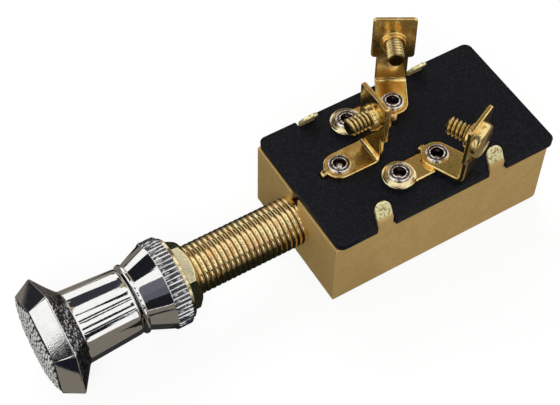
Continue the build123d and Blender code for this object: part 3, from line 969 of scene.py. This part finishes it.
def make_floor():
    made = bpy.data.materials.new("floor")
    made.use_nodes = True
    tree = made.node_tree
    tree.nodes.remove(tree.nodes["Principled BSDF"])
    paper = add_node(tree, "ShaderNodeBsdfDiffuse", {"Color": (0.8, 0.8, 0.79, 1)}).outputs[0]
    glow = add_node(tree, "ShaderNodeEmission", {"Color": (1, 1, 1, 1), "Strength": 1.0}).outputs[0]
    white = add_node(tree, "ShaderNodeMixShader", {0: 0.85, 1: paper, 2: glow}).outputs[0]
    lit = light_path_mix(tree, white, paper)
    clear = add_node(tree, "ShaderNodeBsdfTransparent").outputs[0]
    below = add_node(tree, "ShaderNodeNewGeometry").outputs["Backfacing"]
    both = add_node(tree, "ShaderNodeMixShader", {0: below, 1: lit, 2: clear}).outputs[0]
    tree.links.new(both, tree.nodes["Material Output"].inputs["Surface"])
    mesh = bmesh.new()
    bmesh.ops.create_grid(mesh, x_segments=1, y_segments=1, size=3)
    turn = Matrix.Rotation(atan2(floor_slope.z, floor_slope.y), 4, "X")
    bmesh.ops.transform(mesh, matrix=Matrix.Translation(floor_front) @ turn, verts=mesh.verts)
    plane = show("floor", mesh, made)


make_floor()

card_distance = 0.5


def reflected_card(name, color, corners):
    """A glowing card that only reflections show."""
    made = bpy.data.materials.new(name)
    made.use_nodes = True
    tree = made.node_tree
    tree.nodes.remove(tree.nodes["Principled BSDF"])
    glow = add_node(tree, "ShaderNodeEmission", {"Color": (*color, 1), "Strength": 1.0}).outputs[0]
    tree.links.new(glow, tree.nodes["Material Output"].inputs["Surface"])
    mesh = bmesh.new()
    mesh.faces.new([mesh.verts.new(corner) for corner in corners])
    made_card = show(name, mesh, made)
    made_card.visible_camera = False
    made_card.visible_diffuse = False
    made_card.visible_shadow = False
    made_card.visible_transmission = False


def card(name, color, angle_from, angle_to, y_from, y_to, distance=card_distance):
    """A card beside the set; angles go from +X to +Z about Y."""
    low = radians(angle_from)
    high = radians(angle_to)
    corners = [
        (distance * cos(angle), y, distance * sin(angle))
        for angle, y in ((low, y_from), (high, y_from), (high, y_to), (low, y_to))
    ]
    reflected_card(name, color, corners)


def floor_card(name, color, x_from, x_to, front, rear, lift):
    """A flat card just over the floor."""
    corners = []
    for x, y in ((x_from, front), (x_to, front), (x_to, rear), (x_from, rear)):
        along = (y - floor_front.y) / floor_slope.y
        corners.append(floor_front + floor_slope * along + Vector((x, 0, lift)))
    reflected_card(name, color, corners)


navy = (0.035, 0.035, 0.045)
black = (0.012, 0.012, 0.016)
tan = (0.42, 0.34, 0.24)
card("left_board", navy, 113, 146, -0.08, 0.115)
card("left_board_rear", tan, 108, 148, 0.115, 0.67)
card("left_board_shade", (0.09, 0.085, 0.05), 105, 121.2, 0.195, 0.37, 0.45)
card("left_board_front", black, 108, 157, -0.45, -0.09)
card("low_left_board", (0.085, 0.08, 0.07), 177, 196, -0.08, 0.5)
tent_rods = ((82.0, 88.0), (65.5, 71.0), (58.0, 62.5), (41.0, 47.0), (25.5, 30.5))
for number, (low, high) in enumerate(tent_rods):
    card(f"tent_rod_{number}", black, low, high, -0.04, 0.046, 0.25)
card("right_board", black, 15.5, 23.0, -0.08, 0.113)
card("right_board_rear", (0.020, 0.024, 0.018), -12, 23, 0.115, 0.45)
card("left_board_side", (0.05, 0.055, 0.035), 150, 177, 0.115, 0.45)
card("front_cloth_high", (0.13, 0.13, 0.16), 50, 82, -0.385, -0.09)
card("front_cloth_mid", (0.10, 0.105, 0.13), 30, 50, -0.42, -0.09)
card("front_cloth_low", black, -3, 30, -0.45, -0.09)
card("front_cloth_edge", black, -20, 74.2, -0.62, -0.45)
floor_card("brown_card", (0.19, 0.17, 0.145), -0.30, 0.30, -0.30, 0.30, 0.05 * mm)
# Painted shadow: these two dark cards, under the switch and under its stem, stand in for the switch's
# shadow on the floor, in reflections only.
floor_card("shadow_card_under_switch", (0.03, 0.03, 0.03), -0.012, 0.012, -0.062, 0.05, 0.1 * mm)
floor_card("shadow_card_under_stem", (0.012, 0.015, 0.013), -0.05, 0.04, -0.030, 0.012, 0.15 * mm)
floor_card("knob_cloth", (0.010, 0.010, 0.018), 0.0188, 0.06, -0.078, -0.048, 0.15 * mm)
floor_card("knob_cloth_left", (0.02, 0.02, 0.025), -0.20, -0.064, -0.090, -0.050, 0.15 * mm)

world = bpy.data.worlds.new("studio")
bpy.context.scene.world = world
world.use_nodes = True
tree = world.node_tree
tree.nodes.remove(tree.nodes["Background"])
white_tent = add_node(tree, "ShaderNodeBackground", {"Color": (1, 1, 1, 1), "Strength": 1.0}).outputs[0]
soft_fill = add_node(
    tree, "ShaderNodeBackground", {"Color": (1, 0.99, 0.97, 1), "Strength": 0.55}
).outputs[0]
tree.links.new(light_path_mix(tree, white_tent, soft_fill), tree.nodes["World Output"].inputs["Surface"])


def lamp(name, place, aim, size, power):
    data = bpy.data.lights.new(name, "AREA")
    data.shape = "DISK"
    data.size = size
    data.energy = power
    made = bpy.data.objects.new(name, data)
    bpy.context.scene.collection.objects.link(made)
    made.location = place
    made.rotation_euler = (Vector(aim) - Vector(place)).to_track_quat("-Z", "Y").to_euler()
    made.visible_glossy = False


lamp("key", (0.35, -0.25, 0.45), (0, 0, 0), 0.35, 3.2)
lamp("fill", (-0.45, 0.1, 0.4), (0, 0, 0), 0.4, 2.2)

azimuth = radians(57.656)
elevation = radians(54.145)
roll = radians(1.33)
aim = Vector((-4.678, -0.405, 0)) * mm
camera_distance = 261.4 * mm
camera_data = bpy.data.cameras.new("camera")
camera_data.sensor_width = 36
camera_data.lens = 90.0
camera_data.clip_start = 0.01
camera_data.clip_end = 20
camera = bpy.data.objects.new("camera", camera_data)
bpy.context.scene.collection.objects.link(camera)
back = Vector((sin(azimuth) * cos(elevation), -cos(azimuth) * cos(elevation), sin(elevation)))
right = Vector((cos(azimuth), sin(azimuth), 0))
facing = Matrix((right, back.cross(right), back)).transposed() @ Matrix.Rotation(roll, 3, "Z")
camera.matrix_world = Matrix.Translation(aim + back * camera_distance) @ facing.to_4x4()
bpy.context.scene.camera = camera
bpy.context.scene.view_settings.view_transform = "Standard"
